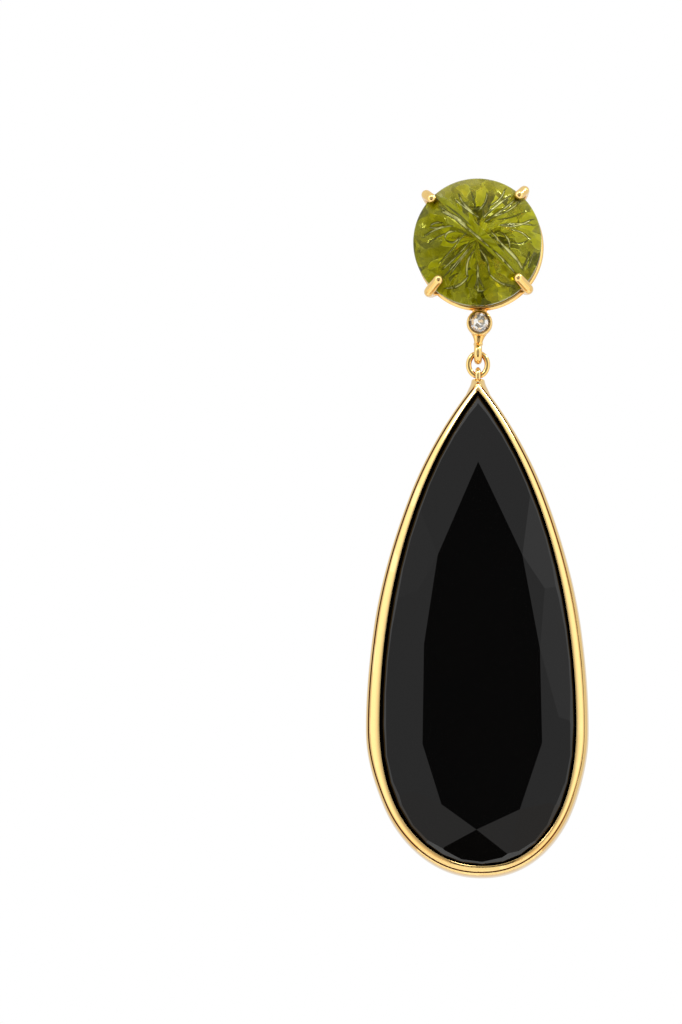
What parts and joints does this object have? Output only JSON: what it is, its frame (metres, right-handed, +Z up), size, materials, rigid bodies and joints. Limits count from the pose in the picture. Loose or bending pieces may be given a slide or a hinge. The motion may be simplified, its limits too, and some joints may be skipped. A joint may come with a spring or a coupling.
{
  "type": "drop earring",
  "caption": "Drop earring with a carved round stone in claws, a small bezel-set stone, a jump ring and a large faceted black pear drop in a gold bezel.",
  "frame": {"origin": "on the ear post's axis, in the plane of the setting's back that lies against the ear lobe", "axes": "+Z up along the hanging drop, +Y out of the back along the ear post, the stones' front faces -Y"},
  "size_m": [0.0207, 0.019, 0.0649],
  "materials": {
    "green_stone": "polished",
    "setting_gold": "polished",
    "post_gold": "polished",
    "clear_stone": "polished",
    "ring_gold": "polished",
    "bezel_gold": "polished",
    "black_stone": "polished stone"
  },
  "bodies": {
    "head": {"carved_peridot": "green_stone", "claw_setting": "setting_gold", "ear_post": "post_gold", "round_diamond": "clear_stone"},
    "link": {"jump_ring": "ring_gold"},
    "drop": {"drop_bezel": "bezel_gold", "faceted_onyx": "black_stone"}
  },
  "joints": [
    {"name": "ring_swing", "type": "hinge", "parent": "head", "child": "link", "pos_m": [0, -0.0025, -0.01067], "axis": [0, 1, 0], "range_deg": [-60, 60]},
    {"name": "drop_swing", "type": "hinge", "parent": "link", "child": "drop", "pos_m": [0, -0.0025, -0.01211], "axis": [1, 0, 0], "range_deg": [-60, 60]}
  ]
}
